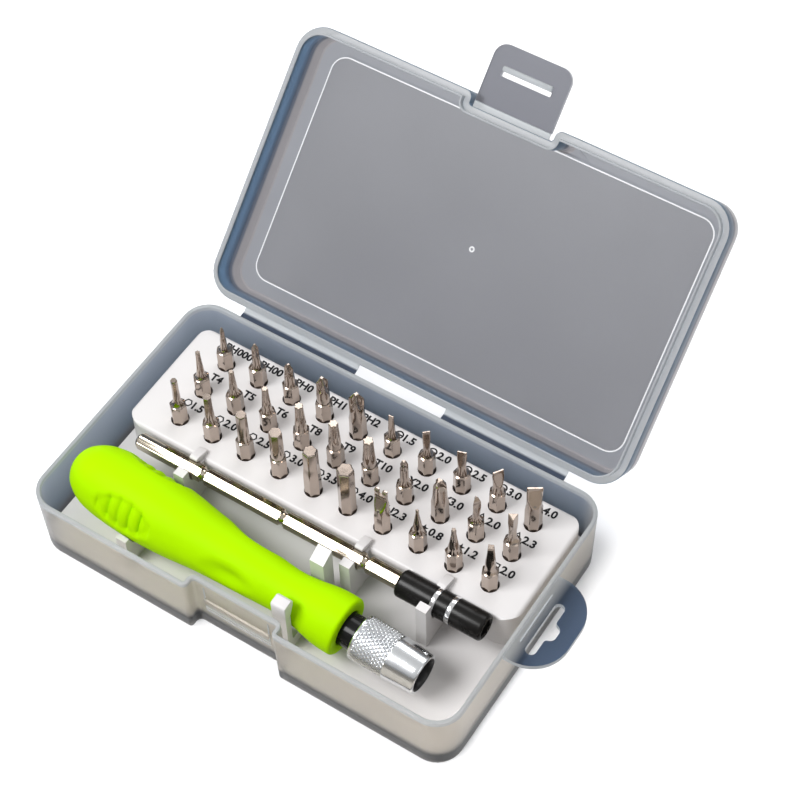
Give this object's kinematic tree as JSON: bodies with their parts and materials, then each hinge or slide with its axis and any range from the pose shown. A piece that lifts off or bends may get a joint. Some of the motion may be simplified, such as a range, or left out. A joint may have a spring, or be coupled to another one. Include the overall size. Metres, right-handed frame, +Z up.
{
  "type": "precision screwdriver set",
  "caption": "Hinged plastic case with a latch and a hang tab, holding a handle, an extension rod and rows of small hex bits in a moulded tray.",
  "frame": {"origin": "centre of the case's underside, the hang tab left out", "axes": "+X along the case towards the hang tab, +Y towards the lid's hinge, +Z up"},
  "size_m": [0.137, 0.1423, 0.086],
  "materials": {
    "case_shell": "frosted, translucent",
    "tray": "matt",
    "bits": "satin nickel",
    "grip": "soft touch",
    "handle_core": "gloss",
    "sleeve": "bright, knurled",
    "rod_bar": "polished",
    "rod_socket": "gloss",
    "rod_rings": "polished"
  },
  "bodies": {
    "case": {"case_base": "case_shell", "tray": "tray"},
    "lid": {"lid": "case_shell"},
    "latch": {"latch_flap": "case_shell"},
    "handle": {"handle_grip": "grip", "handle_neck": "handle_core", "handle_sleeve": "sleeve"},
    "rod": {"rod_bar": "rod_bar", "rod_socket": "rod_socket", "rod_rings": "rod_rings"},
    "bit_cross_000": {"bit_cross_000": "bits"},
    "bit_cross_00": {"bit_cross_00": "bits"},
    "bit_cross_0": {"bit_cross_0": "bits"},
    "bit_cross_1": {"bit_cross_1": "bits"},
    "bit_cross_2": {"bit_cross_2": "bits"},
    "bit_slot_1_5": {"bit_slot_1_5": "bits"},
    "bit_slot_2_0": {"bit_slot_2_0": "bits"},
    "bit_slot_2_5": {"bit_slot_2_5": "bits"},
    "bit_slot_3_0": {"bit_slot_3_0": "bits"},
    "bit_slot_4_0": {"bit_slot_4_0": "bits"},
    "bit_star_4": {"bit_star_4": "bits"},
    "bit_star_5": {"bit_star_5": "bits"},
    "bit_star_6": {"bit_star_6": "bits"},
    "bit_star_8": {"bit_star_8": "bits"},
    "bit_star_9": {"bit_star_9": "bits"},
    "bit_star_10": {"bit_star_10": "bits"},
    "bit_tri_wing_2_0": {"bit_tri_wing_2_0": "bits"},
    "bit_tri_wing_3_0": {"bit_tri_wing_3_0": "bits"},
    "bit_triangle_2_0": {"bit_triangle_2_0": "bits"},
    "bit_triangle_2_3": {"bit_triangle_2_3": "bits"},
    "bit_hex_1_5": {"bit_hex_1_5": "bits"},
    "bit_hex_2_0": {"bit_hex_2_0": "bits"},
    "bit_hex_2_5": {"bit_hex_2_5": "bits"},
    "bit_hex_3_0": {"bit_hex_3_0": "bits"},
    "bit_hex_3_5": {"bit_hex_3_5": "bits"},
    "bit_hex_4_0": {"bit_hex_4_0": "bits"},
    "bit_fork_2_3": {"bit_fork_2_3": "bits"},
    "bit_penta_0_8": {"bit_penta_0_8": "bits"},
    "bit_penta_1_2": {"bit_penta_1_2": "bits"},
    "bit_square_2_0": {"bit_square_2_0": "bits"}
  },
  "joints": [
    {"name": "lid_hinge", "type": "hinge", "parent": "case", "child": "lid", "pos_m": [0, 0.0392, 0.0212], "axis": [-1, 0, 0], "range_deg": [-135, 45]},
    {"name": "latch_hinge", "type": "hinge", "parent": "lid", "child": "latch", "pos_m": [0, 0.0922, 0.07395], "axis": [-1, 0, 0], "range_deg": [-90, 30]},
    {"name": "handle_lift", "type": "slide", "parent": "case", "child": "handle", "axis": [0, 0, 1], "range_m": [0, 0.04]},
    {"name": "rod_lift", "type": "slide", "parent": "case", "child": "rod", "axis": [0, 0, 1], "range_m": [0, 0.03]},
    {"name": "bit_cross_000_lift", "type": "slide", "parent": "case", "child": "bit_cross_000", "axis": [0, 0, 1], "range_m": [0, 0.03]},
    {"name": "bit_cross_00_lift", "type": "slide", "parent": "case", "child": "bit_cross_00", "axis": [0, 0, 1], "range_m": [0, 0.03]},
    {"name": "bit_cross_0_lift", "type": "slide", "parent": "case", "child": "bit_cross_0", "axis": [0, 0, 1], "range_m": [0, 0.03]},
    {"name": "bit_cross_1_lift", "type": "slide", "parent": "case", "child": "bit_cross_1", "axis": [0, 0, 1], "range_m": [0, 0.03]},
    {"name": "bit_cross_2_lift", "type": "slide", "parent": "case", "child": "bit_cross_2", "axis": [0, 0, 1], "range_m": [0, 0.03]},
    {"name": "bit_slot_1_5_lift", "type": "slide", "parent": "case", "child": "bit_slot_1_5", "axis": [0, 0, 1], "range_m": [0, 0.03]},
    {"name": "bit_slot_2_0_lift", "type": "slide", "parent": "case", "child": "bit_slot_2_0", "axis": [0, 0, 1], "range_m": [0, 0.03]},
    {"name": "bit_slot_2_5_lift", "type": "slide", "parent": "case", "child": "bit_slot_2_5", "axis": [0, 0, 1], "range_m": [0, 0.03]},
    {"name": "bit_slot_3_0_lift", "type": "slide", "parent": "case", "child": "bit_slot_3_0", "axis": [0, 0, 1], "range_m": [0, 0.03]},
    {"name": "bit_slot_4_0_lift", "type": "slide", "parent": "case", "child": "bit_slot_4_0", "axis": [0, 0, 1], "range_m": [0, 0.03]},
    {"name": "bit_star_4_lift", "type": "slide", "parent": "case", "child": "bit_star_4", "axis": [0, 0, 1], "range_m": [0, 0.03]},
    {"name": "bit_star_5_lift", "type": "slide", "parent": "case", "child": "bit_star_5", "axis": [0, 0, 1], "range_m": [0, 0.03]},
    {"name": "bit_star_6_lift", "type": "slide", "parent": "case", "child": "bit_star_6", "axis": [0, 0, 1], "range_m": [0, 0.03]},
    {"name": "bit_star_8_lift", "type": "slide", "parent": "case", "child": "bit_star_8", "axis": [0, 0, 1], "range_m": [0, 0.03]},
    {"name": "bit_star_9_lift", "type": "slide", "parent": "case", "child": "bit_star_9", "axis": [0, 0, 1], "range_m": [0, 0.03]},
    {"name": "bit_star_10_lift", "type": "slide", "parent": "case", "child": "bit_star_10", "axis": [0, 0, 1], "range_m": [0, 0.03]},
    {"name": "bit_tri_wing_2_0_lift", "type": "slide", "parent": "case", "child": "bit_tri_wing_2_0", "axis": [0, 0, 1], "range_m": [0, 0.03]},
    {"name": "bit_tri_wing_3_0_lift", "type": "slide", "parent": "case", "child": "bit_tri_wing_3_0", "axis": [0, 0, 1], "range_m": [0, 0.03]},
    {"name": "bit_triangle_2_0_lift", "type": "slide", "parent": "case", "child": "bit_triangle_2_0", "axis": [0, 0, 1], "range_m": [0, 0.03]},
    {"name": "bit_triangle_2_3_lift", "type": "slide", "parent": "case", "child": "bit_triangle_2_3", "axis": [0, 0, 1], "range_m": [0, 0.03]},
    {"name": "bit_hex_1_5_lift", "type": "slide", "parent": "case", "child": "bit_hex_1_5", "axis": [0, 0, 1], "range_m": [0, 0.03]},
    {"name": "bit_hex_2_0_lift", "type": "slide", "parent": "case", "child": "bit_hex_2_0", "axis": [0, 0, 1], "range_m": [0, 0.03]},
    {"name": "bit_hex_2_5_lift", "type": "slide", "parent": "case", "child": "bit_hex_2_5", "axis": [0, 0, 1], "range_m": [0, 0.03]},
    {"name": "bit_hex_3_0_lift", "type": "slide", "parent": "case", "child": "bit_hex_3_0", "axis": [0, 0, 1], "range_m": [0, 0.03]},
    {"name": "bit_hex_3_5_lift", "type": "slide", "parent": "case", "child": "bit_hex_3_5", "axis": [0, 0, 1], "range_m": [0, 0.03]},
    {"name": "bit_hex_4_0_lift", "type": "slide", "parent": "case", "child": "bit_hex_4_0", "axis": [0, 0, 1], "range_m": [0, 0.03]},
    {"name": "bit_fork_2_3_lift", "type": "slide", "parent": "case", "child": "bit_fork_2_3", "axis": [0, 0, 1], "range_m": [0, 0.03]},
    {"name": "bit_penta_0_8_lift", "type": "slide", "parent": "case", "child": "bit_penta_0_8", "axis": [0, 0, 1], "range_m": [0, 0.03]},
    {"name": "bit_penta_1_2_lift", "type": "slide", "parent": "case", "child": "bit_penta_1_2", "axis": [0, 0, 1], "range_m": [0, 0.03]},
    {"name": "bit_square_2_0_lift", "type": "slide", "parent": "case", "child": "bit_square_2_0", "axis": [0, 0, 1], "range_m": [0, 0.03]}
  ]
}
